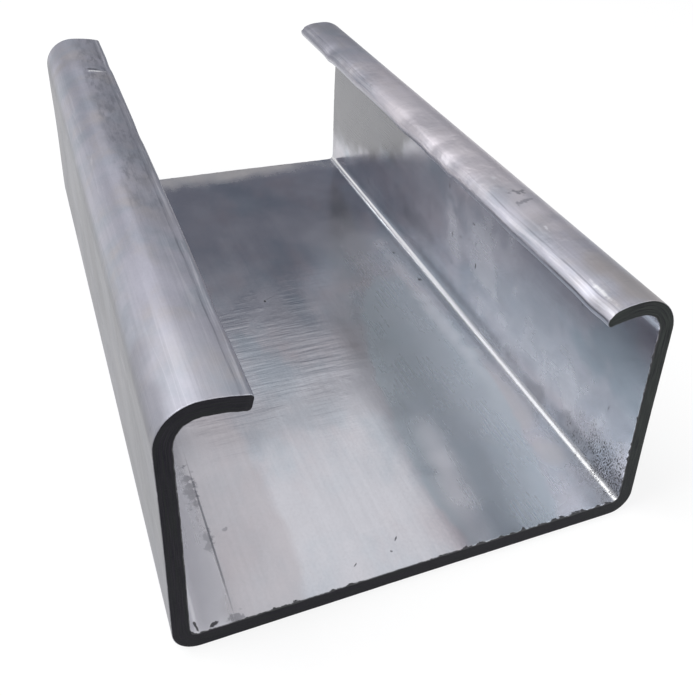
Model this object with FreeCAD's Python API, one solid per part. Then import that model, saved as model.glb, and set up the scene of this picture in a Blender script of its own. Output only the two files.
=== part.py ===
"""Short offcut of cold-formed lipped channel (C purlin), lying on its web.

Frame, in mm: X across the web, Y along the length, Z up.
The underside of the web is z = 0 and the piece is centred on X and Y.
"""
import FreeCAD, Part
import math
import os

# Driving dimensions
WEB_WIDTH = 90.0          # outside to outside across the two flanges
FLANGE_HEIGHT = 50.0      # underside of the web to the crest of the lips
LIP_REACH = 15.0          # outside of a flange to the free edge of its lip
SHEET = 3.0               # thickness of the galvanised sheet
LENGTH = 165.0            # saw cut to saw cut
WEB_BEND_INNER = 1.5      # inside radius where web meets flange
LIP_BEND_INNER = 4.4      # inside radius where flange rolls over into lip
LIP_DIP_DEG = 14.0        # slope of the lip at its free edge, below level
FREE_EDGE_ROUND = 0.6     # rounding of the two corners of the slit edge
STEEL_DENSITY = 7.85e-6   # kg for each cubic millimetre
SAME_PLACE = 0.01         # points nearer than this are one point

# Sizes that follow from them
HALF = WEB_WIDTH / 2.0
WEB_BEND_OUTER = WEB_BEND_INNER + SHEET
LIP_BEND_OUTER = LIP_BEND_INNER + SHEET
CREST_X = HALF - LIP_BEND_OUTER
LIP_ARCH_OUTER = (LIP_REACH - LIP_BEND_OUTER) / math.sin(math.radians(LIP_DIP_DEG))


def on_circle(cx, cz, radius, degrees):
    """Point of a circle in the section plane, angle measured from +X towards +Z."""
    a = math.radians(degrees)
    x = cx + radius * math.cos(a)
    z = cz + radius * math.sin(a)
    return FreeCAD.Vector(x, -LENGTH / 2.0, z)


def arc(cx, cz, radius, start, end):
    """Edge along a circle from one angle to another."""
    first = on_circle(cx, cz, radius, start)
    middle = on_circle(cx, cz, radius, (start + end) / 2.0)
    last = on_circle(cx, cz, radius, end)
    return Part.Arc(first, middle, last).toShape()


def line(x1, z1, x2, z2):
    """Straight edge in the section plane."""
    y = -LENGTH / 2.0
    return Part.LineSegment(FreeCAD.Vector(x1, y, z1), FreeCAD.Vector(x2, y, z2)).toShape()


def right_half_edges():
    """Outline of the right-hand half of the section, from the outside face round to the inside."""
    arch_z = FLANGE_HEIGHT - LIP_ARCH_OUTER
    arch_inner = LIP_ARCH_OUTER - SHEET
    tip = 90.0 + LIP_DIP_DEG
    outer_tip = on_circle(CREST_X, arch_z, LIP_ARCH_OUTER, tip)
    inner_tip = on_circle(CREST_X, arch_z, arch_inner, tip)
    bend_x = HALF - WEB_BEND_OUTER
    lip_z = FLANGE_HEIGHT - LIP_BEND_OUTER
    edges = []
    edges.append(line(0.0, 0.0, bend_x, 0.0))
    edges.append(arc(bend_x, WEB_BEND_OUTER, WEB_BEND_OUTER, -90.0, 0.0))
    edges.append(line(HALF, WEB_BEND_OUTER, HALF, lip_z))
    edges.append(arc(CREST_X, lip_z, LIP_BEND_OUTER, 0.0, 90.0))
    edges.append(arc(CREST_X, arch_z, LIP_ARCH_OUTER, 90.0, tip))
    edges.append(line(outer_tip.x, outer_tip.z, inner_tip.x, inner_tip.z))
    edges.append(arc(CREST_X, arch_z, arch_inner, tip, 90.0))
    edges.append(arc(CREST_X, lip_z, LIP_BEND_INNER, 90.0, 0.0))
    edges.append(line(HALF - SHEET, lip_z, HALF - SHEET, WEB_BEND_OUTER))
    edges.append(arc(bend_x, WEB_BEND_OUTER, WEB_BEND_INNER, 0.0, -90.0))
    edges.append(line(bend_x, SHEET, 0.0, SHEET))
    return edges


def section_face():
    """Whole section: the right-hand half and its mirror image about x = 0."""
    right = right_half_edges()
    left = [edge.mirror(FreeCAD.Vector(0, 0, 0), FreeCAD.Vector(1, 0, 0)) for edge in right]
    outline = Part.Wire(Part.sortEdges(right + left)[0])
    return Part.Face(outline)


def free_edge_corners(solid):
    """The four long edges at the two slit edges of the lips."""
    arch_z = FLANGE_HEIGHT - LIP_ARCH_OUTER
    tip = 90.0 + LIP_DIP_DEG
    corners = []
    for radius in (LIP_ARCH_OUTER, LIP_ARCH_OUTER - SHEET):
        p = on_circle(CREST_X, arch_z, radius, tip)
        corners.append((p.x, p.z))
        corners.append((-p.x, p.z))
    found = []
    for edge in solid.Edges:
        c = edge.CenterOfMass
        if abs(c.y) > SAME_PLACE:
            continue
        if any(math.hypot(c.x - x, c.z - z) < SAME_PLACE for x, z in corners):
            found.append(edge)
    return found


def make_purlin():
    """Section carried along the length, with the slit edges of the lips eased."""
    solid = section_face().extrude(FreeCAD.Vector(0.0, LENGTH, 0.0))
    return solid.makeFillet(FREE_EDGE_ROUND, free_edge_corners(solid))


os.makedirs("parts", exist_ok=True)
purlin = make_purlin()
purlin.exportStep("parts/c_purlin.step")
box = purlin.optimalBoundingBox(False)
print("c_purlin: %d solid, valid %s" % (len(purlin.Solids), purlin.isValid()))
print("size %.2f x %.2f x %.2f mm" % (box.XLength, box.YLength, box.ZLength))
print("volume %.0f mm3, mass in steel %.3f kg" % (purlin.Volume, purlin.Volume * STEEL_DENSITY))
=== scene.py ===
# %% [markdown]
# # A sawn offcut of lipped channel
#
# A C purlin is one strip of galvanised sheet, rolled cold into a channel with a lip along each
# flange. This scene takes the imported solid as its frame, gives it a finer skin with the small
# faults of real rolled and sawn steel, and finishes it with zinc, wear and saw marks.

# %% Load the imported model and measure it
import math

import bpy
import numpy as np
from mathutils import Matrix, Vector, noise


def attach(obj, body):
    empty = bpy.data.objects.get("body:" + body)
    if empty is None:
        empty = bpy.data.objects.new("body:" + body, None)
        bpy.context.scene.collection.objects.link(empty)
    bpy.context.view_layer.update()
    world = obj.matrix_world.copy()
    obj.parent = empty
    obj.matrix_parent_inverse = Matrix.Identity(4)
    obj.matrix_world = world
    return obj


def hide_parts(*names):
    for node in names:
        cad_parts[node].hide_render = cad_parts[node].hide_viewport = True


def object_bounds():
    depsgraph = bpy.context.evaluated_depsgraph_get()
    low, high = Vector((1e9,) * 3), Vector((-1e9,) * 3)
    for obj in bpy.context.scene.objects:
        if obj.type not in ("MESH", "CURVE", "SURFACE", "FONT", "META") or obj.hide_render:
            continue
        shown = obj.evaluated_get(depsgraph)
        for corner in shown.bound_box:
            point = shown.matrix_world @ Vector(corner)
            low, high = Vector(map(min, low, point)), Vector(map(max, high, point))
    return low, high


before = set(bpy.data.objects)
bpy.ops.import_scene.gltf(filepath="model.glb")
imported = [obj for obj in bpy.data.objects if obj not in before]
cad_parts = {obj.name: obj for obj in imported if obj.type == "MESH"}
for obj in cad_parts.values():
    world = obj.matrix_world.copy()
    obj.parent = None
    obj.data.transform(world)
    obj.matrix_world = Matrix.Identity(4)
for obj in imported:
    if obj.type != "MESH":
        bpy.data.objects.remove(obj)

MM = 0.001
scene = bpy.context.scene
cad_low, cad_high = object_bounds()
half_width = cad_high.x
height = cad_high.z
front = cad_low.y
length = cad_high.y - cad_low.y
print("packed box in mm:", [round(v / MM, 2) for v in (2 * half_width, length, height)])

# %% [markdown]
# ## The section as a walk along the middle of the sheet
#
# The real section is made by a row of rollers that fold the strip a little more at each stand, so
# its sheet keeps one thickness all the way round. It could be drawn as two outlines, but a walk
# along the middle of the sheet is closer to how it is made: straight on, turn, straight on, turn.
# The two skins are then half a thickness to each side, and every place on the sheet gets a
# distance from the middle of the web, which the finish uses later.

# %% Sizes of the section that the box doesn't give
SHEET = 3.0 * MM
WEB_BEND_INNER = 1.5 * MM
LIP_BEND_INNER = 4.4 * MM
LIP_REACH = 15.0 * MM
LIP_DIP = math.radians(14.0)
FREE_EDGE_ROUND = 0.6 * MM
FLAT_STEP = 1.15 * MM
WEB_BEND_STEPS, LIP_BEND_STEPS, LIP_STEPS = 10, 12, 9
QUARTER = math.pi / 2
print("sheet and lip reach in mm:", round(SHEET / MM, 2), round(LIP_REACH / MM, 2))

# %% The walk
def half_walk():
    """Stations from the web's centre to the right-hand slit edge.

    Each is x, z, heading, distance run and how freely the sheet flexes there.
    """
    web_bend = WEB_BEND_INNER + SHEET / 2
    lip_bend = LIP_BEND_INNER + SHEET / 2
    arch = (LIP_REACH - LIP_BEND_INNER - SHEET) / math.sin(LIP_DIP) - SHEET / 2
    web_flat = half_width - WEB_BEND_INNER - SHEET
    flange_flat = height - WEB_BEND_INNER - LIP_BEND_INNER - 2 * SHEET
    lip_turn = LIP_DIP - FREE_EDGE_ROUND / arch
    runs = [
        ("web", web_flat, 0.0, math.ceil(web_flat / FLAT_STEP)),
        ("bend", web_bend * QUARTER, QUARTER, WEB_BEND_STEPS),
        ("flange", flange_flat, 0.0, math.ceil(flange_flat / FLAT_STEP)),
        ("bend", lip_bend * QUARTER, QUARTER, LIP_BEND_STEPS),
        ("lip", arch * lip_turn, lip_turn, LIP_STEPS),
    ]
    flex = {
        "web": lambda u: math.cos(QUARTER * u) ** 2,
        "bend": lambda u: 0.0,
        "flange": lambda u: math.sin(math.pi * u) ** 2,
        "lip": lambda u: u,
    }
    x, z, heading, run_so_far = 0.0, SHEET / 2, 0.0, 0.0
    stations = [(x, z, heading, 0.0, flex["web"](0.0))]
    for name, run, turn, steps in runs:
        chord = run / steps if turn == 0 else 2 * run / turn * math.sin(turn / steps / 2)
        for k in range(steps):
            heading += turn / steps / 2
            x += chord * math.cos(heading)
            z += chord * math.sin(heading)
            heading += turn / steps / 2
            run_so_far += run / steps
            stations.append((x, z, heading, run_so_far, flex[name]((k + 1) / steps)))
    return np.array(stations)


def full_walk():
    """The whole walk, left lip to right lip: places, inward normals, distances run and flex."""
    right = half_walk()
    left = right[:0:-1].copy()
    left[:, 0] *= -1
    left[:, 3] *= -1
    place = np.vstack([left[:, :2], right[:, :2]])
    normal_right = np.stack([-np.sin(right[:, 2]), np.cos(right[:, 2])], 1)
    normal_left = normal_right[:0:-1] * [-1, 1]
    normal = np.vstack([normal_left, normal_right])
    rest = np.vstack([left[:, 3:], right[:, 3:]])
    return place, normal, rest[:, 0], rest[:, 1]


place, normal, across, flex = full_walk()
print("walk:", len(place), "stations,", round(2 * across[-1] / MM, 1), "mm of strip")

# %% [markdown]
# ## Stations along the length
#
# Nothing much happens in the middle of the piece, so a ring of points every millimetre is enough.
# The two saw cuts have torn, slightly rounded edges a few tenths of a millimetre wide, and there
# the rings crowd together.

# %% Rings from cut to cut
CUT_RINGS = [0.0, 0.06, 0.13, 0.22, 0.34, 0.5, 0.72, 1.0, 1.4, 2.0, 2.8]
RING_STEP = 1.0
near_cut = np.array(CUT_RINGS) * MM
middle_count = round((length / MM - 2 * CUT_RINGS[-1]) / RING_STEP)
middle = np.linspace(near_cut[-1], length - near_cut[-1], middle_count + 1)[1:-1]
along = np.concatenate([near_cut, middle, length - near_cut[::-1]])
print("rings:", len(along))

# %% [markdown]
# ## Small faults of the sheet
#
# Rolled sheet is never quite flat. Between the stiff bends it swells in and out by a tenth or two
# of a millimetre, which is what makes the reflections in it swim. The free edges of the lips also
# take knocks. Both are moves of the whole sheet, so they shift the two skins together, and only
# ever inward, which keeps the piece inside its real size.

# %% How far the sheet is pushed in
WAVE = 0.22 * MM
SLOW_CELL, SLOW_SHARE = (30 * MM, 38 * MM), 0.45
QUICK_CELL, QUICK_SHARE = (12 * MM, 9 * MM), 0.14
SLOW_LAYER, QUICK_LAYER = 4.2, 9.7
KNOCKS = [
    # side, distance from the front cut, depth, half length, all in mm
    (1, 6.0, 0.35, 3.0),
    (1, 34.0, 0.30, 5.0),
    (1, 62.0, 0.55, 3.5),
    (1, 71.0, 0.40, 2.5),
    (1, 88.0, 0.50, 5.0),
    (1, 119.0, 0.35, 6.0),
    (1, 141.0, 0.55, 3.0),
    (-1, 22.0, 0.25, 7.0),
    (-1, 96.0, 0.30, 5.0),
    (-1, 143.0, 0.35, 4.0),
]


def swell(run, y):
    """Slow unevenness of the sheet at one place, 0 to 1."""
    slow = noise.noise(Vector((run / SLOW_CELL[0], y / SLOW_CELL[1], SLOW_LAYER)))
    quick = noise.noise(Vector((run / QUICK_CELL[0], y / QUICK_CELL[1], QUICK_LAYER)))
    return min(1.0, max(0.0, 0.5 + SLOW_SHARE * slow + QUICK_SHARE * quick))


def knock(run, y):
    """Depth of the knocks in the free edge at one place."""
    return sum(
        depth * MM * math.exp(-(((y / MM - centre) / half) ** 2))
        for side, centre, depth, half in KNOCKS
        if side * run > 0
    )


def pushed(station, y):
    """How far one station of the sheet is pushed in at one ring."""
    run = across[station]
    knocked = knock(run, y) if on_lip[station] else 0.0
    return flex[station] * (WAVE * swell(run, y) + knocked)


on_lip = np.abs(across) > across[-1] - (LIP_REACH - LIP_BEND_INNER - SHEET)
push = np.array([[pushed(station, y) for station in range(len(across))] for y in along])
print("sheet pushed in by up to", round(push.max() / MM, 2), "mm")

# %% [markdown]
# ## Torn edges at the saw cuts
#
# A hand-held saw seldom cuts quite square, so the front cut leans back by a degree or two. It also
# tears the last tenth of a millimetre off each edge. A bevel would be too even, so the radius of
# every edge is drawn from noise, and the inner edge is the rougher one, because that is where the
# blade comes out. The right-hand slit edge has been rubbed thin besides: over its last few
# millimetres the outer skin comes down in a quarter ellipse.

# %% Radius of the edges and depth of the chips
EDGE_LEAST, EDGE_MOST = 0.06 * MM, 0.34 * MM
WIDE_CHIP, NARROW_CHIP = 1.9 * MM, 0.8 * MM
OUTER_SHARE = 0.3
TAPER_DEPTH, TAPER_RUN = 1.1 * MM, 4.0 * MM


def edge_radius(side):
    """Rounding of the cut's edge at each station, for the outer (0) or inner (1) skin, at each end.

    The last two numbers of each noise only keep the four edges different from one another.
    """
    radii = []
    for end in (0, 1):
        wobble = [
            0.5 + 0.5 * noise.noise(Vector((run / WIDE_CHIP, 3.1 * side, 7.3 * end)))
            + 0.5 * noise.noise(Vector((run / NARROW_CHIP, 5.7 * side, 2.9 * end)))
            for run in across
        ]
        share = np.clip(np.array(wobble), 0.0, 1.0) * (1.0 if side else OUTER_SHARE)
        radii.append(EDGE_LEAST + (EDGE_MOST - EDGE_LEAST) * share)
    return radii


edge = [edge_radius(side) for side in (0, 1)]
from_slit = (across[-1] - across) / TAPER_RUN
taper = TAPER_DEPTH * (1 - np.sqrt(1 - np.clip(1 - from_slit, 0.0, 1.0) ** 2))


def set_in(radius, distance):
    """How far a skin draws back towards the middle of the sheet, at a distance from the cut."""
    short = np.clip(radius - distance, 0.0, None)
    return radius - np.sqrt(np.clip(radius**2 - short**2, 0.0, None))


print("edge radius in mm: %.2f to %.2f" % (edge[1][0].min() / MM, edge[1][0].max() / MM))

# %% [markdown]
# ## The skin
#
# Every ring is a loop: along the outer skin, round the slit edge, back along the inner skin and
# round the other slit edge. Each saw cut is a ladder of small quads between the two skins. All of
# it is one closed mesh with its faces turned outwards. It could be a plain mesh with the colours
# painted on, but this one also carries the unrolled place of each point, in millimetres: across
# the strip, along the piece, and which skin it is on. The finish is laid out on that.

# %% The saw cut's set-back
LEAN_ACROSS, LEAN_UP = 1.5 * MM, 1.5 * MM


def set_back(x, z):
    """How far the front cut stands back at a place of the section, across the web and up the flange."""
    across_web = (x + half_width) / (2 * half_width)
    return LEAN_ACROSS * across_web + LEAN_UP * z / height


def lengthways(section, run):
    """The y of every point of a section, at a share of the length that starts on the front cut."""
    back = set_back(section[..., 0], section[..., 1])
    return front + back + run * (1 - back / length)


print("front cut stands back by up to", round(set_back(half_width, height) / MM, 2), "mm")


# %% Points of one cross-section
RUNGS = 8
CORNER = [(0.0, 0.0), (1 - math.cos(QUARTER / 2), math.sin(QUARTER / 2)), (1.0, 1.0)]


def cross_section(k):
    """Grid of points, station by rung from outer to inner skin, at ring k."""
    y = along[k]
    far = y > length / 2
    distance = length - y if far else y
    outer = set_in(edge[0][int(far)], distance) + taper
    inner = set_in(edge[1][int(far)], distance)
    rung = np.linspace(0.0, 1.0, RUNGS + 1)[None, :]
    depth = (-SHEET / 2 + outer)[:, None] * (1 - rung) + (SHEET / 2 - inner)[:, None] * rung
    depth = depth + push[k][:, None]
    grid = place[:, None, :] + normal[:, None, :] * depth[:, :, None]
    for station, side in ((0, -1), (-1, 1)):
        out = np.array([normal[station][1], -normal[station][0]]) * side
        thin = min(outer[station], inner[station]) / SHEET
        for j in range(RUNGS + 1):
            from_skin = min(j, RUNGS - j)
            lift, slide = CORNER[min(from_skin, 2)]
            base = depth[station][0] if j <= RUNGS / 2 else depth[station][-1]
            inward = 1 if j <= RUNGS / 2 else -1
            at = base + inward * FREE_EDGE_ROUND * lift
            if from_skin > 2:
                at = depth[station][0] + (depth[station][-1] - depth[station][0]) * j / RUNGS
            grid[station, j] = place[station] + normal[station] * at
            grid[station, j] += out * FREE_EDGE_ROUND * slide * (1 - thin)
    return grid


sections = [cross_section(k) for k in range(len(along))]
print("each section:", sections[0].shape[0], "stations by", sections[0].shape[1], "points")


# %% Every point, ring by ring
LAST_RING = len(along) - 1


def loop_of(grid):
    """The outline of a grid of points, once round."""
    return np.vstack([grid[:, 0], grid[-1, 1:-1], grid[::-1, -1], grid[0, -2:0:-1]])


def in_space(k):
    """x, y and z of every point of ring k."""
    section = sections[k]
    return np.stack([section[..., 0], lengthways(section, along[k]), section[..., 1]], -1)


def on_sheet(k):
    """Unrolled place of every point of ring k: across, along, and the skin from outer 0 to inner 1."""
    marks = np.empty((len(place), RUNGS + 1, 3))
    marks[..., 0] = across[:, None] / MM
    marks[..., 1] = along[k] / MM
    marks[..., 2] = np.linspace(0.0, 1.0, RUNGS + 1)
    return marks


def gather(of_ring):
    """A value for every point of the mesh: round each ring, then inside the two cut faces."""
    outlines = [loop_of(of_ring(k)) for k in range(len(along))]
    ladders = [np.vstack(list(of_ring(k)[1:-1, 1:-1])) for k in (0, LAST_RING)]
    return np.vstack(outlines + ladders)


points = gather(in_space)
AROUND = len(loop_of(sections[0]))
print("points:", len(points), "with", AROUND, "round each ring")

# %% Every face, turned outwards
def side_faces():
    """Quads between neighbouring rings."""
    faces = []
    for k in range(LAST_RING):
        a = k * AROUND
        b = a + AROUND
        for i in range(AROUND):
            j = (i + 1) % AROUND
            faces.append((a + i, b + i, b + j, a + j))
    return faces


def cut_faces():
    """The ladder of quads on each saw cut."""
    stations = len(place)
    ids = np.zeros((stations, RUNGS + 1), int)
    outline = loop_of(np.arange(ids.size).reshape(stations, RUNGS + 1, 1))[:, 0]
    ids.reshape(-1)[outline] = np.arange(AROUND)
    hidden = (stations - 2) * (RUNGS - 1)
    faces = []
    for end, k in enumerate((0, LAST_RING)):
        number = ids + k * AROUND
        first = AROUND * len(along) + end * hidden
        number[1:-1, 1:-1] = first + np.arange(hidden).reshape(stations - 2, RUNGS - 1)
        for i in range(stations - 1):
            for j in range(RUNGS):
                quad = (number[i, j], number[i, j + 1], number[i + 1, j + 1], number[i + 1, j])
                faces.append(tuple(map(int, quad if end else quad[::-1])))
    return faces


sides, cuts = side_faces(), cut_faces()
print("faces:", len(sides), "on the skins,", len(cuts), "on the cuts")

# %% Build the mesh
def build_skin():
    """The closed mesh with its unrolled coordinates."""
    mesh = bpy.data.meshes.new("purlin_skin")
    mesh.from_pydata(points.tolist(), [], sides + cuts)
    mesh.polygons.foreach_set("material_index", [0] * len(sides) + [1] * len(cuts))
    mesh.attributes.new("sheet_mm", "FLOAT_VECTOR", "POINT")
    mesh.attributes["sheet_mm"].data.foreach_set("vector", gather(on_sheet).ravel())
    mesh.shade_smooth()
    mesh.update()
    return mesh


purlin = bpy.data.objects.new("purlin_skin", build_skin())
scene.collection.objects.link(purlin)
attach(purlin, "root")
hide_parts("c_purlin")
print("skin:", len(purlin.data.vertices), "points,", len(purlin.data.polygons), "faces")

# %% [markdown]
# ## Small tools for shader nodes
#
# A finish is a graph of nodes, and typing it out link by link hides what it says. `put` adds one
# node and fills its inputs, where a number is set on the socket and a socket is linked. `effect`
# starts a node group with named inputs and outputs, so that each finish can use it with its own
# values. The groups only make masks and colours. The shaders stay in the materials.

# %% One node, sums, steps and blends
def put(tree, kind, settings=None, **inputs):
    """Adds a shader node. settings are its properties, inputs its sockets by name, or by number as i0."""
    made = tree.nodes.new("ShaderNode" + kind)
    for name, value in (settings or {}).items():
        setattr(made, name, value)
    for name, value in inputs.items():
        key = int(name[1:]) if name[1:].isdigit() else name.replace("_", " ")
        socket = made.inputs[key]
        if isinstance(value, bpy.types.NodeSocket):
            tree.links.new(value, socket)
        else:
            socket.default_value = value
    return made


def sums(tree, operation, a, b=0.0, c=0.0, clamp=False):
    """A Math node's result."""
    made = put(tree, "Math", {"operation": operation, "use_clamp": clamp}, i0=a, i1=b, i2=c)
    return made.outputs[0]


def times(tree, a, b, clamp=False):
    """A product."""
    return sums(tree, "MULTIPLY", a, b, clamp=clamp)


def scaled(tree, a, by, plus):
    """A product with something added."""
    return sums(tree, "MULTIPLY_ADD", a, by, plus)


def step(tree, value, low, high, to_low=0.0, to_high=1.0):
    """A smooth step between two values."""
    made = put(
        tree, "MapRange", {"interpolation_type": "SMOOTHSTEP"},
        Value=value, From_Min=low, From_Max=high, To_Min=to_low, To_Max=to_high,
    )
    return made.outputs[0]


def blend(tree, share, first, second):
    """A colour between two."""
    made = put(tree, "Mix", {"data_type": "RGBA"}, Factor=share, i6=first, i7=second)
    return made.outputs[2]


print("node tools: put, sums, times, scaled, step, blend")

# %% Making an effect and using it
def effect(name, inputs, outputs):
    """A node group with inputs by name and value, outputs by name and kind, and its given values."""
    tree = bpy.data.node_groups.new(name, "ShaderNodeTree")
    for label, value in inputs.items():
        kind = "NodeSocketColor" if isinstance(value, tuple) else "NodeSocketFloat"
        socket = tree.interface.new_socket(label, in_out="INPUT", socket_type=kind)
        socket.default_value = value
    for label, kind in outputs.items():
        tree.interface.new_socket(label, in_out="OUTPUT", socket_type="NodeSocket" + kind)
    return tree, tree.nodes.new("NodeGroupInput").outputs


def give(tree, **results):
    """Links a group's results to its outputs."""
    out = tree.nodes.new("NodeGroupOutput")
    for name, socket in results.items():
        tree.links.new(socket, out.inputs[name.replace("_", " ")])


def use(tree, group, **inputs):
    """Places an effect in a material with this finish's own values."""
    return put(tree, "Group", {"node_tree": group}, **inputs).outputs


def mask_of(tree, group, **inputs):
    """Places an effect and gives its mask."""
    return use(tree, group, **inputs)["Mask"]


def ready(group):
    """Prints what an effect can be given, and hands it on."""
    sockets = [s.name for s in group.interface.items_tree if s.in_out == "INPUT"]
    print("effect:", group.name, "takes", ", ".join(sockets))
    return group


print("effect tools: effect, give, use, mask_of")

# %% [markdown]
# ## Where on the sheet
#
# Streaks, clouds and scratches follow the strip round its bends, as they did when it was flat. So
# the effects read the unrolled place of each point. It could be a picture wrapped round the
# piece, but numbers stay sharp at any distance. Dividing them gives cells of any width and length.

# %% Effect: stretched cells
OTHER_SKIN = 17.0


def make_cells():
    tree, given = effect(
        "Strip cells",
        {"Width": 1.0, "Length": 1.0, "Shift": 0.0},
        {"Cells": "Vector", "Across": "Float", "Along": "Float", "Inside": "Float"},
    )
    read = put(tree, "Attribute", {"attribute_name": "sheet_mm"})
    parts = put(tree, "SeparateXYZ", Vector=read.outputs["Vector"])
    x, y, z = parts.outputs
    cells = put(
        tree, "CombineXYZ",
        X=sums(tree, "DIVIDE", x, given["Width"]),
        Y=sums(tree, "DIVIDE", y, given["Length"]),
        Z=scaled(tree, z, OTHER_SKIN, given["Shift"]),
    )
    give(tree, Cells=cells.outputs[0], Across=x, Along=y, Inside=z)
    return tree


def on_strip(tree):
    """Across and Along in millimetres, and Inside, which is 1 on the inner skin and 0 on the outer."""
    return use(tree, strip_cells)


def cells_of(tree, given):
    """The stretched cells that an effect was asked for."""
    return use(
        tree, strip_cells, Width=given["Width"], Length=given["Length"], Shift=given["Shift"],
    )["Cells"]


strip_cells = ready(make_cells())

# %% [markdown]
# ## Clouds, streaks and scratches
#
# Hot zinc runs and freezes unevenly, the rollers drag it lengthwise, and handling scratches it.
# Each of these is noise in stretched cells: long thin cells make streaks, round ones make clouds,
# and the crests of the noise alone make scratches. A painted picture of zinc would repeat, and
# blur close up. Noise does neither.

# %% Effect: streaks and clouds
def make_streaks():
    tree, given = effect(
        "Drawn streaks",
        {"Width": 1.0, "Length": 40.0, "Shift": 0.0, "Low": 0.35, "High": 0.65, "Detail": 5.0},
        {"Mask": "Float"},
    )
    cloud = put(
        tree, "TexNoise", Vector=cells_of(tree, given), Scale=1.0, Detail=given["Detail"],
        Roughness=0.6, Distortion=0.2,
    )
    give(tree, Mask=step(tree, cloud.outputs[0], given["Low"], given["High"]))
    return tree


streaks = ready(make_streaks())

# %% Effect: the bloom of old zinc
WHITE = (1.0, 1.0, 1.0, 1.0)
BLOOM_STRETCH = 1.6
WARM_LATER = 7.0


def make_bloom():
    tree, given = effect(
        "Zinc bloom",
        {"Size": 16.0, "Shift": 0.0, "Plain": WHITE, "Cool": WHITE, "Warm": WHITE},
        {"Colour": "Color"},
    )
    size, shift = given["Size"], given["Shift"]
    longer = times(tree, size, BLOOM_STRETCH)
    later = sums(tree, "ADD", shift, WARM_LATER)
    cool = mask_of(tree, streaks, Width=size, Length=longer, Shift=shift, Low=0.42, High=0.66)
    warm = mask_of(tree, streaks, Width=size, Length=longer, Shift=later, Low=0.46, High=0.72)
    colour = blend(tree, cool, given["Plain"], given["Cool"])
    give(tree, Colour=blend(tree, warm, colour, given["Warm"]))
    return tree


bloom = ready(make_bloom())

# %% Effect: scratches
def make_lines():
    tree, given = effect(
        "Fine lines",
        {"Width": 1.0, "Length": 30.0, "Shift": 0.0, "Fineness": 0.03},
        {"Mask": "Float"},
    )
    cells = cells_of(tree, given)
    wander = put(tree, "TexNoise", Vector=cells, Scale=1.0, Detail=1.0)
    crest = sums(tree, "ABSOLUTE", sums(tree, "SUBTRACT", wander.outputs[0], 0.5))
    line = step(tree, crest, given["Fineness"], 0.0)
    patchy = put(tree, "TexNoise", Vector=cells, Scale=0.37, Detail=2.0)
    give(tree, Mask=times(tree, line, step(tree, patchy.outputs[0], 0.45, 0.62)))
    return tree


lines = ready(make_lines())

# %% [markdown]
# ## Marks in a known place
#
# Some marks are where they are because something happened there: a crease, soot blown back from
# the saw. Others are painted light: a pale patch and other reflections, highlights and shade that
# the zinc shows in one place. They could be brushed on by hand, but a mark that is a few numbers
# can be moved by changing one. `Stain` is a soft oval at a place on the strip, turned if need be,
# with a ragged edge. `Lengthwise band` is a stripe that runs the whole piece, such as the painted
# highlight along a bend. `Saw soot` keeps within a fraction of a millimetre of the cuts.

# %% Effect: a stain with a ragged edge
RAGGED_REACH = 4.0


def same_skin(tree, inside, skin):
    """1 where the inside value and the wanted skin agree, 0 on the other skin."""
    off_skin = sums(tree, "ABSOLUTE", sums(tree, "SUBTRACT", inside, skin))
    return step(tree, off_skin, 0.5, 0.1)


def make_stain():
    tree, wanted = effect(
        "Stain",
        {"Across": 0.0, "Along": 0.0, "Half width": 5.0, "Half length": 10.0, "Turn": 0.0,
         "Ragged": 0.4, "Cloud": 0.5, "Softness": 0.5, "Skin": 1.0},
        {"Mask": "Float"},
    )
    here = on_strip(tree)
    right = sums(tree, "SUBTRACT", here["Across"], wanted["Across"])
    ahead = sums(tree, "SUBTRACT", here["Along"], wanted["Along"])
    cosine = sums(tree, "COSINE", wanted["Turn"])
    sine = sums(tree, "SINE", wanted["Turn"])
    wide = scaled(tree, ahead, sine, times(tree, right, cosine))
    long = sums(tree, "SUBTRACT", times(tree, ahead, cosine), times(tree, right, sine))
    wide = sums(tree, "DIVIDE", wide, wanted["Half width"])
    long = sums(tree, "DIVIDE", long, wanted["Half length"])
    far = sums(tree, "SQRT", scaled(tree, wide, wide, times(tree, long, long)))
    ragged = times(tree, sums(tree, "SUBTRACT", wanted["Cloud"], 0.5), wanted["Ragged"])
    edge_at = scaled(tree, ragged, RAGGED_REACH, far)
    oval = step(tree, edge_at, 1.0, sums(tree, "SUBTRACT", 1.0, wanted["Softness"]))
    give(tree, Mask=times(tree, oval, same_skin(tree, here["Inside"], wanted["Skin"])))
    return tree


stain = ready(make_stain())

# %% Effect: a stripe along the whole piece
def make_band():
    tree, wanted = effect(
        "Lengthwise band",
        {"Across": 0.0, "Half width": 1.0, "Softness": 0.5, "Broken": 0.5, "Grain": 12.0,
         "Shift": 0.0, "Skin": 1.0},
        {"Mask": "Float"},
    )
    here = use(tree, strip_cells, Width=wanted["Half width"], Length=wanted["Grain"], Shift=wanted["Shift"])
    off = sums(tree, "ABSOLUTE", sums(tree, "SUBTRACT", here["Across"], wanted["Across"]))
    off = sums(tree, "DIVIDE", off, wanted["Half width"])
    stripe = step(tree, off, 1.0, sums(tree, "SUBTRACT", 1.0, wanted["Softness"]))
    cloud = put(tree, "TexNoise", Vector=here["Cells"], Scale=1.0, Detail=4.0)
    gaps = times(tree, step(tree, cloud.outputs[0], 0.6, 0.4), wanted["Broken"])
    whole = sums(tree, "SUBTRACT", 1.0, gaps)
    on_skin = same_skin(tree, here["Inside"], wanted["Skin"])
    give(tree, Mask=times(tree, times(tree, stripe, whole), on_skin))
    return tree


band = ready(make_band())

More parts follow.
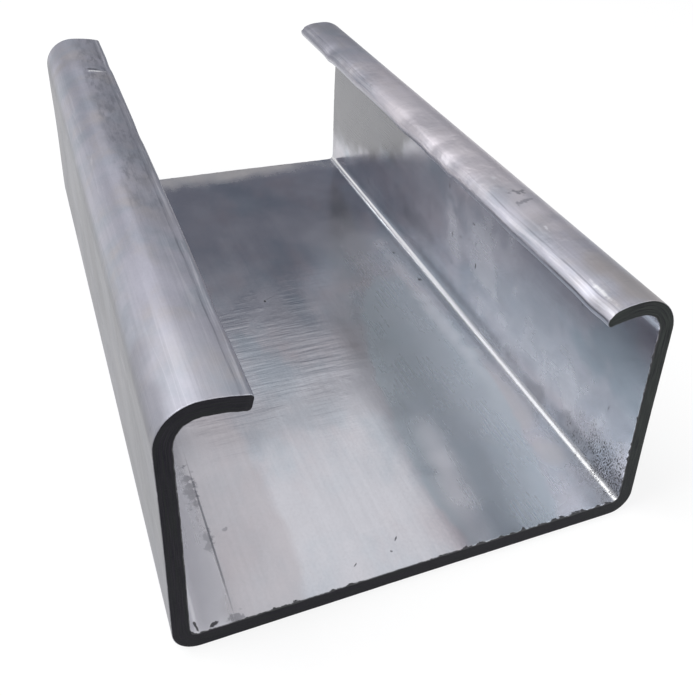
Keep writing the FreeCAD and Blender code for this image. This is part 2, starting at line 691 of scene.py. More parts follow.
# %% Effect: soot beside the saw cuts
def make_soot():
    tree, given = effect(
        "Saw soot",
        {"Piece length": 165.0, "Reach": 0.8, "Grain": 0.8},
        {"Mask": "Float"},
    )
    here = use(tree, strip_cells, Width=given["Grain"], Length=given["Grain"], Shift=8.0)
    other = sums(tree, "SUBTRACT", given["Piece length"], here["Along"])
    distance = sums(tree, "MINIMUM", here["Along"], other)
    cloud = put(tree, "TexNoise", Vector=here["Cells"], Scale=0.6, Detail=3.0, Roughness=0.6)
    wide = put(tree, "TexNoise", Vector=here["Cells"], Scale=0.11, Detail=2.0)
    reach = times(tree, step(tree, cloud.outputs[0], 0.4, 0.75), given["Reach"])
    reach = times(tree, reach, step(tree, wide.outputs[0], 0.42, 0.7, 0.1, 1.5))
    give(tree, Mask=step(tree, sums(tree, "SUBTRACT", distance, reach), 0.2, 0.0))
    return tree


soot = ready(make_soot())

# %% [markdown]
# ## Zinc
#
# Old zinc is a soft grey metal with a thin dull bloom, cooler in one place and warmer in another.
# The outer skin has rubbed on other steel and is rougher, while the inner skin kept more of its
# polish. Over that lie the marks in known places, real ones and painted reflections, highlights
# and shade. They could be painted by hand on a picture, but as a list they stay sharp and easy to
# change: each line is one mark, with its colour, its strength and its place on the strip in
# millimetres.

# %% Zinc colours and three measures of the strip
PIECE_MM = length / MM
SLIT_MM = across[-1] / MM
BEND_MM = (half_width - WEB_BEND_INNER - SHEET + (WEB_BEND_INNER + SHEET / 2) * QUARTER / 2) / MM
INNER_PLAIN = (0.56, 0.56, 0.61, 1.0)
INNER_COOL = (0.46, 0.50, 0.56, 1.0)
INNER_WARM = (0.56, 0.53, 0.57, 1.0)
OUTER_PLAIN = (0.43, 0.425, 0.485, 1.0)
OUTER_COOL = (0.365, 0.385, 0.44, 1.0)
OUTER_WARM = (0.43, 0.41, 0.43, 1.0)
DARK = (0.16, 0.165, 0.19, 1.0)
BLACK = (0.02, 0.02, 0.024, 1.0)
PALE = (0.72, 0.715, 0.76, 1.0)
DULL = (0.225, 0.225, 0.235, 1.0)
BROWN = (0.46, 0.435, 0.42, 1.0)
COOL = (0.44, 0.50, 0.55, 1.0)
ROSE = (0.47, 0.445, 0.47, 1.0)
SCORCH = (0.33, 0.305, 0.30, 1.0)
BLUSH = (0.66, 0.615, 0.645, 1.0)
INNER_BLOOM = dict(Size=17.0, Shift=1.0, Plain=INNER_PLAIN, Cool=INNER_COOL, Warm=INNER_WARM)
OUTER_BLOOM = dict(Size=8.0, Shift=4.0, Plain=OUTER_PLAIN, Cool=OUTER_COOL, Warm=OUTER_WARM)
print("length, slit edge and bend line in mm:", [round(v, 1) for v in (PIECE_MM, SLIT_MM, BEND_MM)])

# %% Marks in known places
MARKS = [
    # what, colour, strength, dulling, chalk, across, along, half width, half length, turn,
    # ragged, softness, skin (1 inner, 0 outer)
    # painted reflection: the far half of the web painted darker
    ("far web", DARK, 0.2, 0, 0, 0, 128, 52, 62, 0, 0.12, 0.6, 1),
    ("far web edge", BROWN, 0.65, 0.24, 0.15, 4, 164, 56, 10, 0, 0.16, 0.95, 1),
    # painted shade: the web darker below the left lip, near the front cut
    ("web under the opening", DARK, 0.36, 0, 0, -14, 46, 30, 13, 0, 0.14, 0.75, 1),
    # painted reflection: a pale patch on the web near the front cut
    ("near web", PALE, 0.22, 0, 0, -7, 22, 17, 40, -0.1, 0.06, 0.25, 1),
    ("near web, left", ROSE, 0.6, 0, 0, -36, 22, 16, 50, 0.02, 0.03, 0.14, 1),
    ("web by the bend", BROWN, 0.35, 0.08, 0.1, 36, 35, 4, 26, 0, 0.5, 0.8, 1),
    # painted reflection: the blue-grey tone where the web mirrors the right flange; the cool side also
    # makes the zinc chalkier
    ("web, cool side", COOL, 0.15, 0.05, 0.28, 29, 55, 27, 82, 0, 0.04, 0.45, 1),
    ("web, cool band", COOL, 0.75, 0.02, 0.04, 23, 38, 14, 56, -0.12, 0.04, 0.1, 1),
    # painted reflection: a light and a dark streak along the edge of the pale patch
    ("near web, pale streak", PALE, 0.75, 0.03, 0.08, 13.5, 16, 5, 27, -0.12, 0.08, 0.9, 1),
    ("near web, dark streak", DARK, 0.1, 0, 0, 21.5, 16, 3.5, 22, -0.22, 0.08, 0.9, 1),
    ("web, halfway", DARK, 0.2, 0, 0, 2, 70, 24, 26, 0, 0.1, 0.9, 1),
    # painted highlight and painted shade on the web beside the right bend
    ("web, pale by the bend", PALE, 0.45, 0.04, 0.06, 35.5, 75, 3.2, 45, 0, 0.2, 0.9, 1),
    ("web, dark by the bend", DARK, 0.35, 0, 0, 40, 75, 1.3, 60, 0, 0.1, 0.8, 1),
    # painted dark reflection on the far top of the right flange, with slightly duller zinc
    ("flange, far top", DULL, 0.95, 0.05, 0, 80, 128, 20, 62, 0.45, 0.08, 0.3, 1),
    ("flange, near half", PALE, 0.65, 0.03, 0.05, 64, 34, 25, 56, 0, 0.1, 0.6, 1),
    ("flange, cool corner", COOL, 0.8, 0, 0, 72, 10, 12, 16, 0, 0.4, 0.8, 1),
    ("flange, pale cloud", PALE, 0.75, 0.08, 0.15, 56, 22, 8, 34, 0, 0.45, 0.9, 1),
    ("flange, pale cloud", PALE, 0.75, 0.06, 0.2, 66, 62, 14, 22, 0, 0.45, 0.9, 1),
    ("flange, dark cloud", DARK, 0.35, 0, 0, 54, 98, 9, 20, 0, 0.35, 0.8, 1),
    # painted highlight along the right inner bend, with chalkier zinc
    ("bend, rubbed bright", PALE, 0.8, 0, 0.25, BEND_MM, 90, 1, 96, 0, 0.05, 0.6, 1),
    # painted shade in the corner at the foot of the right flange
    ("flange foot", DARK, 0.5, 0.08, 0, 47, 20, 3, 32, 0, 0.45, 0.8, 1),
    ("flange foot, further back", DARK, 0.35, 0, 0, 47.2, 78, 1.8, 48, 0, 0.2, 0.8, 1),
    # painted highlight on the flange just above its foot
    ("flange, above the foot", PALE, 0.25, 0.04, 0.06, 51, 80, 3.2, 40, 0, 0.25, 0.9, 1),
    # painted reflection lightening the web's left margin, with chalkier, duller zinc
    ("web, left margin", PALE, 0.9, 0.1, 0.6, -41, 14, 7.5, 44, 0, 0.08, 0.35, 1),
    ("crease", DARK, 0.85, 0, 0, -34.5, 20, 0.28, 24, 0, 0.05, 0.7, 1),
    ("crease, crushed", DARK, 0.32, 0.1, 0, -35, 18, 1.1, 3, 0, 0.6, 0.6, 1),
    ("crease, crushed", DARK, 0.36, 0.1, 0, -35.4, 31, 1.3, 6, 0, 0.6, 0.6, 1),
    ("web smudge", DARK, 0.45, 0, 0, -31.6, 19.5, 0.9, 0.5, 0, 0.5, 0.6, 1),
    ("crease end", DARK, 0.6, 0, 0, -34.4, 0.8, 1.5, 1.1, 0, 0.5, 0.6, 1),
    ("cut nick", BLACK, 0.9, 0, 0, -41.3, 1.4, 0.5, 1.1, 0.5, 0.4, 0.5, 1),
    ("cut nick", BLACK, 0.9, 0, 0, -38, 0.9, 0.8, 0.5, 0.4, 0.4, 0.5, 1),
    ("nick", BLACK, 0.8, 0, 0, -2.8, 6.6, 0.16, 0.8, -0.7, 0.2, 0.6, 1),
    ("nick", BLACK, 0.8, 0, 0, -11.9, 3.7, 0.15, 0.7, -0.9, 0.2, 0.6, 1),
    ("pit", BLACK, 0.6, 0, 0, -4.7, 4.2, 0.22, 0.25, 0, 0.2, 0.5, 1),
    ("pit", BLACK, 0.95, 0, 0, -3.9, 88.4, 0.35, 0.55, 0, 0.1, 0.4, 1),
    ("scratch from the pit", DARK, 0.6, 0, 0, -2.2, 89.4, 0.12, 2.2, -1.2, 0.1, 0.6, 1),
    ("pit", BLACK, 0.95, 0, 0, 37.3, 100.8, 0.35, 0.5, 0, 0.15, 0.4, 1),
    ("pit", BLACK, 0.8, 0, 0, 38.6, 85.4, 0.5, 0.7, 0.4, 0.45, 0.5, 1),
    ("smear under the lip", DARK, 0.7, 0.1, 0, 80, 48, 0.8, 3.4, 0.9, 0.3, 0.8, 1),
    ("lip nick", BLACK, 0.9, 0, 0, -95.2, 138.6, 2.2, 0.5, 0.1, 0.3, 0.5, 0),
    ("lip nick, bright side", WHITE, 0.8, 0, 0, -95.6, 136.9, 2.4, 0.6, 0.1, 0.3, 0.5, 0),
    ("left lip, near", PALE, 0.22, 0, 0, -93, 8, 8, 22, 0, 0.08, 0.9, 0),
    ("right lip, rubbed", BLUSH, 0.7, -0.03, 0.07, 93, 82, 11, 66, 0, 0.15, 0.6, 0),
    ("left bend, near the cut", DARK, 0.38, 0.05, 0, -86.5, 4, 3.2, 28, 0, 0.35, 0.8, 0),
    ("left lip, far scale", DARK, 0.42, 0.05, 0, -97, 100, 6, 70, 0, 0.25, 0.7, 0),
    ("left lip, far end", DARK, 0.3, 0.05, 0, -92, 160, 14, 22, 0, 0.3, 0.9, 0),
    ("right lip, far end", DARK, 0.42, 0.05, 0, 95, 154, 9, 34, 0, 0.3, 0.8, 0),
    ("right lip, smudge", DARK, 0.7, 0, 0, 93.2, 42.5, 1.7, 1.3, 0.3, 0.6, 0.7, 0),
    ("right lip, smudge", DARK, 0.6, 0, 0, 94, 38.5, 1.9, 1.1, -0.3, 0.6, 0.7, 0),
    ("right lip, dent", PALE, 0.6, 0, 0, 94.6, 50, 0.6, 0.8, 0.3, 0.4, 0.9, 0),
    ("right lip, dent", PALE, 0.7, 0, 0, 95.2, 27.5, 0.4, 1.6, 0.1, 0.4, 0.9, 0),
    ("right lip, tip highlight", WHITE, 0.45, 0, 0, 97.2, 6, 0.5, 5, 0, 0.3, 0.9, 0),
    ("right lip tip", SCORCH, 0.75, 0.05, 0, 92, 6, 5, 20, 0, 0.3, 0.8, 0),
]
print("marks so far:", len(MARKS))

# %% Short dark dashes inside the right flange
DASHES = [
    # strength, across, along, half width, half length
    (0.45, 73.5, 80.5, 0.9, 0.3),
    (0.8, 62, 76.5, 1.1, 0.28),
    (0.7, 63.5, 72, 0.22, 0.9),
    (0.75, 70, 66.5, 0.28, 0.9),
    (0.55, 65, 68, 0.22, 0.5),
    (0.35, 65.5, 64.5, 0.9, 0.3),
    (0.4, 54.5, 75.5, 0.9, 0.3),
    (0.9, 60, 63.5, 1.1, 0.33),
    (0.6, 77.5, 63.5, 0.6, 0.8),
    (0.25, 50, 133, 1, 1.2),
    (0.8, 60.5, 8, 1, 0.16),
    (0.9, 76.5, 17, 0.3, 0.3),
    (0.9, 75.5, 21.5, 0.3, 0.3),
]
MARKS += [
    ("flange dash", BLACK, strength, 0, 0, s, y, half_wide, half_long, 0, 0.25, 0.6, 1)
    for strength, s, y, half_wide, half_long in DASHES
]
print("marks:", len(MARKS), "of which dashes:", len(DASHES))

# %% Laying the marks
FINE_BELOW = 3


def lay_marks(tree, colour):
    """Blends the marks over a colour. Returns it with the black ones' depth, the dulling and the chalk."""
    coarse = mask_of(tree, streaks, Width=8.0, Length=8.0, Shift=3.3, Low=0.0, High=1.0, Detail=1.5)
    fine = mask_of(tree, streaks, Width=1.2, Length=1.2, Shift=6.1, Low=0.0, High=1.0, Detail=2.0)
    depth, dulling, chalky = 0.0, 0.0, 0.0
    for row in MARKS:
        tint, strength, dull, chalk, s, y, half_wide, half_long, turn, ragged, softness, skin = row[1:]
        mask = mask_of(
            tree, stain, Across=s, Along=y, Half_width=half_wide, Half_length=half_long, Turn=turn,
            Ragged=ragged, Cloud=fine if half_wide < FINE_BELOW else coarse, Softness=softness, Skin=skin,
        )
        colour = blend(tree, times(tree, mask, strength), colour, tint)
        if tint is BLACK:
            depth = sums(tree, "ADD", mask, depth)
        if dull:
            dulling = scaled(tree, mask, dull, dulling)
        if chalk:
            chalky = scaled(tree, mask, chalk, chalky)
    return colour, depth, dulling, chalky


print("marks that also dull or chalk the zinc:", sum(1 for row in MARKS if row[3] or row[4]))

# %% [markdown]
# ## Bands, drag lines and soot
#
# Rollers press on the same part of the strip from end to end, so their traces run the whole
# length: long drag lines and wear along the slit edges. Where a roller slipped it left short
# cross lines, and the saw blew soot over the sheet beside the cut. Other stripes are painted
# light: a painted highlight along each inner web bend and each slit edge, and a painted shade
# line beside the slit edge. Ovals would break such stripes up, so these use the band, the
# streaks and the soot effect instead.

# %% Bands that follow the strip
SCALE_FROM, SCALE_TO = 30.0, 80.0
SCALE_STRENGTH = 0.55
BANDS = [
    # what, colour, strength, across, half width, softness, broken, grain, shift, skin
    ("flank", DULL, 0.88, 65.5, 21, 0.12, 0.15, 30, 5, 0),
    # the fold is a painted highlight along each inner web bend
    ("fold", WHITE, 0.9, BEND_MM, 2, 0.7, 0.1, 20, 8, 1),
    ("lip underside", PALE, 0.25, SLIT_MM, 11, 0.3, 0.1, 20, 9, 1),
    # the slit edge stripe is wear and a painted highlight; the line beside it is painted shade
    ("slit edge, wear and painted highlight", PALE, 0.6, SLIT_MM - 0.5, 0.45, 0.6, 0.8, 9, 11, 0),
    ("painted shade beside the slit edge", DARK, 0.6, SLIT_MM - 1.4, 0.25, 0.6, 0.8, 7, 14, 0),
]


def lay_scale(tree, colour):
    """Blends dark scale over the far part of the left lip."""
    scale = mask_of(
        tree, band, Across=-95.6, Half_width=4.4, Softness=0.6, Broken=0.5, Grain=14.0, Shift=3.0, Skin=0.0,
    )
    grain = mask_of(tree, streaks, Width=1.2, Length=6.0, Shift=40.0, Low=0.44, High=0.62)
    far_end = step(tree, on_strip(tree)["Along"], SCALE_FROM, SCALE_TO)
    scale = times(tree, times(tree, scale, grain), far_end)
    return blend(tree, times(tree, scale, SCALE_STRENGTH), colour, DARK)


def lay_bands(tree, colour):
    """Blends the bands over a colour, left and right, painted highlights and shade lines among them.
    Returns it and where the lips' undersides are.
    """
    underside = 0.0
    for side in (-1, 1):
        for what, tint, strength, s, half_wide, softness, broken, grain, shift, skin in BANDS:
            mask = mask_of(
                tree, band, Across=s * side, Half_width=half_wide, Softness=softness, Broken=broken,
                Grain=grain, Shift=shift, Skin=skin,
            )
            # the painted fold highlight is pale grey on the left bend and white on the right
            if what == "fold" and side < 0:
                tint = PALE
            if what == "lip underside":
                underside = sums(tree, "ADD", mask, underside)
            colour = blend(tree, times(tree, mask, strength), colour, tint)
    return colour, underside


print("bands:", [row[0] for row in BANDS])

# %% What the rollers left
DRAG, DRAG_OUTSIDE = 0.06, 0.12
GRAIN_SHARE, PALE_LINE_SHARE = 0.07, 0.2
BLOTCH, BLOTCH_FLANGE = 0.04, 0.08
CHATTER_SHARE, CHATTER_RIGHT = 0.85, 0.15


def lay_drag(tree, colour, outside):
    """Darkens the dragged streaks and the grain, with pale lines outside. Returns the two masks too."""
    narrow = mask_of(tree, streaks, Width=0.8, Length=45.0, Shift=5.0, Low=0.3, High=0.7, Detail=3.0)
    grain = mask_of(tree, streaks, Width=0.5, Length=0.7, Shift=12.0, Low=0.3, High=0.7, Detail=1.0)
    dragged = times(tree, narrow, scaled(tree, outside, DRAG_OUTSIDE, DRAG))
    colour = blend(tree, dragged, colour, DARK)
    colour = blend(tree, times(tree, grain, GRAIN_SHARE), colour, DARK)
    pale_lines = mask_of(tree, lines, Width=1.3, Length=60.0, Shift=22.0, Fineness=0.02)
    colour = blend(tree, times(tree, times(tree, pale_lines, outside), PALE_LINE_SHARE), colour, PALE)
    return colour, narrow, grain


def lay_blotches(tree, colour):
    """Darkens faint blotches, more on the inside of the flanges than on the web."""
    flanges = 0.0
    for side in (-1, 1):
        flange = mask_of(
            tree, band, Across=64.0 * side, Half_width=21.0, Softness=0.15, Broken=0.0, Grain=30.0,
            Shift=2.0,
        )
        flanges = sums(tree, "ADD", flange, flanges)
    blotch = mask_of(tree, streaks, Width=7.0, Length=10.0, Shift=51.0, Low=0.42, High=0.62)
    blotch = times(tree, blotch, scaled(tree, flanges, BLOTCH_FLANGE, BLOTCH))
    return blend(tree, blotch, colour, DARK)


def lay_chatter(tree, colour, outside):
    """Short dark lines across the outside of the flanges, mostly the left. Returns their mask too."""
    chatter = mask_of(tree, lines, Width=7.0, Length=0.9, Shift=61.0, Fineness=0.035)
    run = on_strip(tree)["Across"]
    off_lip = step(tree, run, -88.0, -82.0)
    by_side = step(tree, run, -30.0, -50.0, CHATTER_RIGHT, 1.0)
    chatter = times(tree, chatter, times(tree, outside, times(tree, off_lip, by_side)))
    return blend(tree, times(tree, chatter, CHATTER_SHARE), colour, DARK), chatter


print("rollers left: drag, grain, pale lines, blotches, chatter")

# %% Soot from the saw
SOOT_OUTSIDE, SOOT_INSIDE = 0.15, 0.85
FOOT_SOOT = 1.8


def lay_soot(tree, colour, inside):
    """Blackens the sheet beside the cuts and at the foot of the right flange. Returns where, too."""
    foot_cloud = mask_of(tree, streaks, Width=3.0, Length=3.0, Shift=7.0, Low=0.0, High=1.0)
    foot = mask_of(
        tree, stain, Across=47.0, Along=2.0, Half_width=9.0, Half_length=21.0, Ragged=0.35,
        Cloud=foot_cloud, Softness=0.9,
    )
    fine = mask_of(tree, streaks, Width=0.55, Length=0.3, Shift=33.0, Low=0.45, High=0.62)
    blown = mask_of(tree, soot, Piece_length=PIECE_MM, Reach=0.6, Grain=0.9)
    blown = times(tree, blown, scaled(tree, inside, SOOT_INSIDE, SOOT_OUTSIDE))
    black = sums(tree, "MAXIMUM", blown, times(tree, times(tree, foot, fine), FOOT_SOOT, clamp=True))
    return blend(tree, black, colour, BLACK), black


print("soot: beside both cuts and at the foot of the right flange")

# %% [markdown]
# ## Roughness and fine relief
#
# How a metal looks is mostly how it mirrors, so the same masks now also set how rough the zinc is
# and how high. Ripples and wrinkles of a few hundredths of a millimetre would need millions of
# points in the mesh. A Bump node tilts the reflections as they would, at no cost, and the larger
# swells and knocks are in the mesh already.

# %% Roughness and fine relief
ROUGH_OUTSIDE, ROUGH_INSIDE = 0.42, 0.16
ROUGHER = {"clouds": 0.05, "narrow": 0.03, "black": 0.3, "underside": 0.3}
RIPPLE, RIPPLE_WEB = 0.06, 0.65
WRINKLE = 1.7
GRAIN_HEIGHT, CHATTER_HEIGHT, DRAG_HEIGHT, PIT_DEPTH = 0.03, -0.5, 0.2, 0.8


def make_rough(tree, inside, dulling, **where):
    """Polished inside and rubbed outside, rougher in each of the named places, and dulled by marks."""
    rough = scaled(tree, inside, ROUGH_INSIDE - ROUGH_OUTSIDE, ROUGH_OUTSIDE)
    for name, more in ROUGHER.items():
        rough = scaled(tree, where[name], more, rough)
    return sums(tree, "ADD", rough, dulling)


def make_relief(tree, clouds, grain, chatter, dragged, pits):
    """Ripples on the web, wrinkles on the right lip, grain, chatter, drag lines and pits, as one height."""
    rippled = mask_of(
        tree, stain, Across=-8.0, Along=66.0, Half_width=36.0, Half_length=26.0, Ragged=0.25, Cloud=clouds,
    )
    crumpled = mask_of(
        tree, stain, Across=96.0, Along=84.0, Half_width=7.0, Half_length=62.0, Ragged=0.3, Cloud=clouds,
        Skin=0.0,
    )
    waves = mask_of(tree, streaks, Width=17.0, Length=2.2, Shift=15.0, Low=0.2, High=0.8, Detail=3.0)
    wrinkles = mask_of(tree, streaks, Width=3.5, Length=5.0, Shift=71.0, Low=0.3, High=0.7, Detail=2.0)
    relief = times(tree, waves, scaled(tree, rippled, RIPPLE_WEB, RIPPLE))
    relief = scaled(tree, times(tree, crumpled, wrinkles), WRINKLE, relief)
    relief = scaled(tree, grain, GRAIN_HEIGHT, relief)
    relief = scaled(tree, chatter, CHATTER_HEIGHT, relief)
    relief = scaled(tree, dragged, DRAG_HEIGHT, relief)
    return sums(tree, "SUBTRACT", relief, times(tree, pits, PIT_DEPTH))


print("roughness outside and inside:", ROUGH_OUTSIDE, ROUGH_INSIDE)

# %% The zinc finish
RELIEF_STRENGTH, RELIEF_DEPTH = 0.6, 0.06 * MM
CHALK_UNDER_LIPS = 0.35


def new_finish(name):
    """An empty material and its node tree."""
    finish = bpy.data.materials.new(name)
    finish.use_nodes = True
    finish.node_tree.nodes.clear()
    return finish, finish.node_tree


def make_zinc():
    zinc, tree = new_finish("zinc_coat")
    inside = on_strip(tree)["Inside"]
    outside = sums(tree, "SUBTRACT", 1.0, inside)
    inner = use(tree, bloom, **INNER_BLOOM)["Colour"]
    outer = use(tree, bloom, **OUTER_BLOOM)["Colour"]
    colour = lay_scale(tree, blend(tree, inside, outer, inner))
    colour, underside = lay_bands(tree, colour)
    colour, narrow, grain = lay_drag(tree, colour, outside)
    colour, depth, dulling, chalky = lay_marks(tree, colour)
    colour = lay_blotches(tree, colour)
    colour, chatter = lay_chatter(tree, colour, outside)
    colour, black = lay_soot(tree, colour, inside)
    clouds = mask_of(tree, streaks, Width=16.0, Length=22.0, Shift=9.0)
    rough = make_rough(
        tree, inside, dulling, clouds=clouds, narrow=narrow, black=black, underside=underside,
    )
    relief = make_relief(tree, clouds, grain, chatter, times(tree, narrow, outside), depth)
    bump = put(tree, "Bump", Strength=RELIEF_STRENGTH, Distance=RELIEF_DEPTH, Height=relief)
    chalky = scaled(tree, underside, CHALK_UNDER_LIPS, chalky)
    metal = sums(tree, "SUBTRACT", 1.0, sums(tree, "ADD", chalky, black), clamp=True)
    surface = put(
        tree, "BsdfPrincipled", Base_Color=colour, Metallic=metal, Roughness=rough, Normal=bump.outputs[0],
    )
    put(tree, "OutputMaterial", Surface=surface.outputs[0])
    return zinc


purlin.data.materials.append(make_zinc())
print("zinc:", len(purlin.data.materials[0].node_tree.nodes), "nodes")

# %% [markdown]
# ## Sawn steel
#
# The cut faces have no zinc. Hot from the saw and never cleaned, they are nearly black with a
# blue, green or brown cast here and there, paler and greener towards the right flange, and with
# fine marks across the thickness. One flat black would do from afar, but close up it would look
# like a hole, so the same clouds and streaks vary it a little.

# %% The cut finish
CUT_DARK, CUT_PALER = (0.008, 0.007, 0.013, 1.0), (0.024, 0.021, 0.028, 1.0)
CUT_GREEN, CUT_GREY_GREEN = (0.015, 0.019, 0.016, 1.0), (0.045, 0.054, 0.047, 1.0)
GREEN_FROM, GREEN_TO, GREEN_MOST = 30.0, 60.0, 0.75
CUT_HUE_SHARE = 0.6
CUT_ROUGH, CUT_ROUGHER = 0.45, 0.15
TEETH_STRENGTH, TEETH_DEPTH = 0.4, 0.06 * MM
CUT_GLOSS = 0.08


def make_cut():
    cut, tree = new_finish("sawn_steel")
    clouds = mask_of(tree, streaks, Width=6.0, Length=6.0, Shift=21.0)
    hue = mask_of(tree, streaks, Width=11.0, Length=6.0, Shift=25.0, Low=0.4, High=0.6)
    teeth = mask_of(tree, streaks, Width=0.35, Length=6.0, Shift=31.0, Low=0.3, High=0.7)
    colour = blend(tree, clouds, CUT_DARK, CUT_PALER)
    colour = blend(tree, times(tree, hue, CUT_HUE_SHARE), colour, CUT_GREEN)
    right_side = step(tree, on_strip(tree)["Across"], GREEN_FROM, GREEN_TO, 0.0, GREEN_MOST)
    colour = blend(tree, times(tree, clouds, right_side), colour, CUT_GREY_GREEN)
    rough = scaled(tree, clouds, CUT_ROUGHER, CUT_ROUGH)
    bump = put(tree, "Bump", Strength=TEETH_STRENGTH, Distance=TEETH_DEPTH, Height=teeth)
    surface = put(
        tree, "BsdfPrincipled",
        Base_Color=colour, Roughness=rough, Specular_IOR_Level=CUT_GLOSS, Normal=bump.outputs[0],
    )
    put(tree, "OutputMaterial", Surface=surface.outputs[0])
    return cut


purlin.data.materials.append(make_cut())
print("finishes:", [m.name for m in purlin.data.materials])

# %% [markdown]
# ## Floor and background
#
# A pale floor that runs far back gives a white ground with the soft shadow that the piece throws.
# More lamps would whiten it too, but they would bleach the steel. So part of its light is its own,
# near the piece four fifths and all of it further off, and only for the camera, for reflections
# and through glass. The world does the same behind it.

# %% The floor
FLOOR_REACH = 6.0
FLOOR_PAINT, PURE_WHITE = (0.94, 0.94, 0.94, 1.0), (1.0, 1.0, 1.0, 1.0)
GLOW_FROM, GLOW_TO, GLOW_LEAST = 0.25, 0.9, 0.8


def seen_rays(tree):
    """1 for rays from the camera, off gloss or through glass, 0 for the light that falls on things."""
    path = put(tree, "LightPath")
    seen = sums(tree, "MAXIMUM", path.outputs["Is Camera Ray"], path.outputs["Is Glossy Ray"])
    return sums(tree, "MAXIMUM", seen, path.outputs["Is Transmission Ray"])


def make_board(name, corners):
    """A flat four-cornered board."""
    board = bpy.data.objects.new(name, bpy.data.meshes.new(name))
    board.data.from_pydata(corners, [], [(0, 1, 2, 3)])
    scene.collection.objects.link(board)
    return board


def paint_floor():
    paint, tree = new_finish("white_ground")
    matt = put(tree, "BsdfDiffuse", Color=FLOOR_PAINT)
    glow = put(tree, "Emission", Color=PURE_WHITE, Strength=1.0)
    seen = seen_rays(tree)
    where = put(tree, "NewGeometry")
    away = put(tree, "VectorMath", {"operation": "LENGTH"}, i0=where.outputs["Position"])
    own_light = step(tree, away.outputs["Value"], GLOW_FROM, GLOW_TO, GLOW_LEAST, 1.0)
    share = times(tree, seen, own_light)
    both = put(tree, "MixShader", Fac=share, i1=matt.outputs[0], i2=glow.outputs[0])
    put(tree, "OutputMaterial", Surface=both.outputs[0])
    return paint


r = FLOOR_REACH
floor = make_board("floor", [(-r, -r, 0.0), (r, -r, 0.0), (r, r, 0.0), (-r, r, 0.0)])
floor.data.materials.append(paint_floor())
print("floor:", 2 * r, "m each way")

# %% The world
WORLD_FILL, WORLD_FILL_STRENGTH = (0.97, 0.98, 1.0, 1.0), 0.6


def make_world():
    world = bpy.data.worlds.new("studio")
    world.use_nodes = True
    tree = world.node_tree
    tree.nodes.clear()
    white = put(tree, "Background", Color=PURE_WHITE, Strength=1.0)
    fill = put(tree, "Background", Color=WORLD_FILL, Strength=WORLD_FILL_STRENGTH)
    both = put(tree, "MixShader", Fac=seen_rays(tree), i1=fill.outputs[0], i2=white.outputs[0])
    put(tree, "OutputWorld", Surface=both.outputs[0])
    return world


scene.world = make_world()
scene.view_settings.view_transform = "Standard"
print("world:", scene.world.name, "in", scene.view_settings.view_transform)

# %% [markdown]
# ## Lamps and a flag
#
# One broad soft lamp hangs above on the left, and a weaker one fills from the front right. A long
# narrow one hangs high behind the piece, where the web mirrors it as a pale stripe. Polished metal
# shows what stands round it, so a studio also hangs a dark board, a flag, where the metal would
# otherwise only mirror a white room. Here it stands behind the piece and darkens the far half of
# the web. The zinc there is painted a little darker too, a painted reflection among the marks,
# which stays put as one walks round, while the flag's reflection moves.

# %% Lamps
PIECE_MIDDLE = (0.0, 0.0, 0.02)
STRIP_PLACE, STRIP_AIM = (-0.13, 0.85, 0.80), (-0.13, 0.849, 0.0)


def soft_lamp(name, place_at, aim, size, power):
    """An area lamp of a given size at a place, turned towards another."""
    lamp = bpy.data.lights.new(name, "AREA")
    lamp.shape = "RECTANGLE"
    lamp.size, lamp.size_y = size
    lamp.energy = power
    holder = bpy.data.objects.new(name, lamp)
    holder.location = place_at
    direction = Vector(aim) - Vector(place_at)
    holder.rotation_euler = direction.to_track_quat("-Z", "Y").to_euler()
    holder.visible_camera = False
    scene.collection.objects.link(holder)
    print(name + ":", power, "W, size", size)


soft_lamp("key_lamp", (-0.45, 0.05, 0.75), PIECE_MIDDLE, (0.5, 0.7), 6.0)
soft_lamp("fill_lamp", (0.7, -0.5, 0.6), PIECE_MIDDLE, (0.6, 0.6), 2.0)
soft_lamp("strip_lamp", STRIP_PLACE, STRIP_AIM, (0.12, 0.8), 0.9)

# %% The flag
FLAG_AWAY = 1.5
FLAG_FROM, FLAG_TO, FLAG_FOOT = -0.92, 2.6, 0.02
FLAG_DARK, FLAG_SOFT = math.radians(34.0), math.radians(44.0)
FLAG_TOP = FLAG_AWAY * math.tan(FLAG_SOFT)
FADE_LEFT, FADE_RIGHT = 0.3, 0.7
FLAG_SHADE = (0.20, 0.21, 0.25, 1.0)


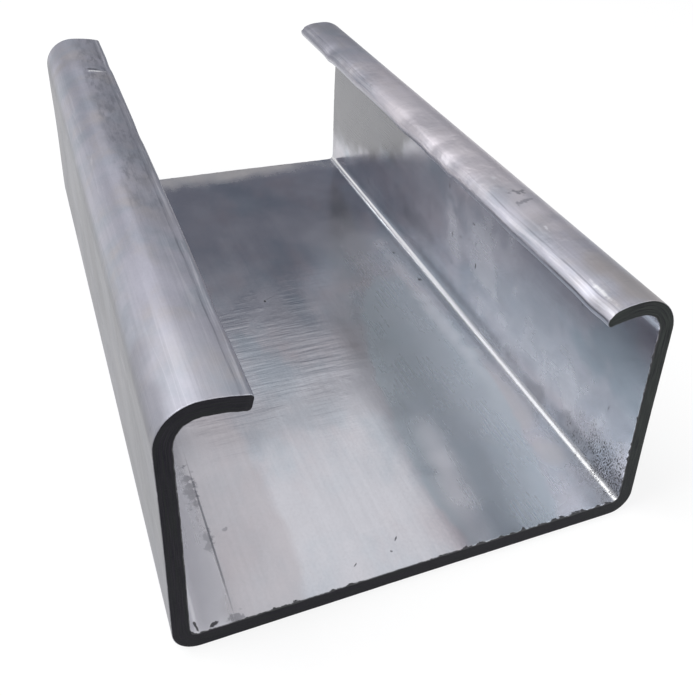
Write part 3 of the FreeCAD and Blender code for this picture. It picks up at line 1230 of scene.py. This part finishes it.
def flag_cloth():
    """Dark cloth that fades to white at its top and at both sides."""
    cloth, tree = new_finish("flag_cloth")
    where = put(tree, "NewGeometry")
    parts = put(tree, "SeparateXYZ", Vector=where.outputs["Position"])
    upper = step(tree, parts.outputs[2], FLAG_AWAY * math.tan(FLAG_DARK), FLAG_TOP)
    left = step(tree, parts.outputs[0], FLAG_FROM + FADE_LEFT, FLAG_FROM)
    right = step(tree, parts.outputs[0], FLAG_TO - FADE_RIGHT, FLAG_TO)
    fade = sums(tree, "MAXIMUM", upper, sums(tree, "MAXIMUM", left, right))
    shade = blend(tree, fade, FLAG_SHADE, PURE_WHITE)
    dark = put(tree, "Emission", Color=shade, Strength=1.0)
    put(tree, "OutputMaterial", Surface=dark.outputs[0])
    return cloth


corners = [(FLAG_FROM, FLAG_FOOT), (FLAG_TO, FLAG_FOOT), (FLAG_TO, FLAG_TOP), (FLAG_FROM, FLAG_TOP)]
flag = make_board("flag", [(x, FLAG_AWAY, z) for x, z in corners])
flag.visible_camera = False
flag.visible_shadow = False
flag.visible_diffuse = False
flag.data.materials.append(flag_cloth())
print("flag:", round(FLAG_TO - FLAG_FROM, 2), "m wide, top at", round(FLAG_TOP, 2), "m")

# %% [markdown]
# ## Camera
#
# The camera looks down into the channel over its front left corner. It could be aimed at a point,
# but here it is set the way a tripod head is: a turn, a tilt down and a small roll.

# %% The camera
CAMERA_PLACE = Vector((-54.7, -173.7, 129.9)) * MM
CAMERA_TURN = math.radians(23.57)
CAMERA_DOWN = math.radians(31.47)
CAMERA_ROLL = math.radians(3.29)
LENS_MM, FILM_MM = 45.52, 36.0
SHIFT_X, SHIFT_Y = -0.0295, -0.1236
NEAREST, FURTHEST = 0.005, 50.0


def make_camera():
    lens = bpy.data.cameras.new("camera")
    lens.lens = LENS_MM
    lens.sensor_width = FILM_MM
    lens.shift_x = SHIFT_X
    lens.shift_y = SHIFT_Y
    lens.clip_start, lens.clip_end = NEAREST, FURTHEST
    camera = bpy.data.objects.new("camera", lens)
    turn = Matrix.Rotation(-CAMERA_TURN, 4, "Z")
    tilt = Matrix.Rotation(QUARTER - CAMERA_DOWN, 4, "X")
    roll = Matrix.Rotation(CAMERA_ROLL, 4, "Z")
    camera.matrix_world = Matrix.Translation(CAMERA_PLACE) @ turn @ tilt @ roll
    scene.collection.objects.link(camera)
    return camera


scene.camera = make_camera()
print("camera stands", round(CAMERA_PLACE.length, 3), "m from the piece")
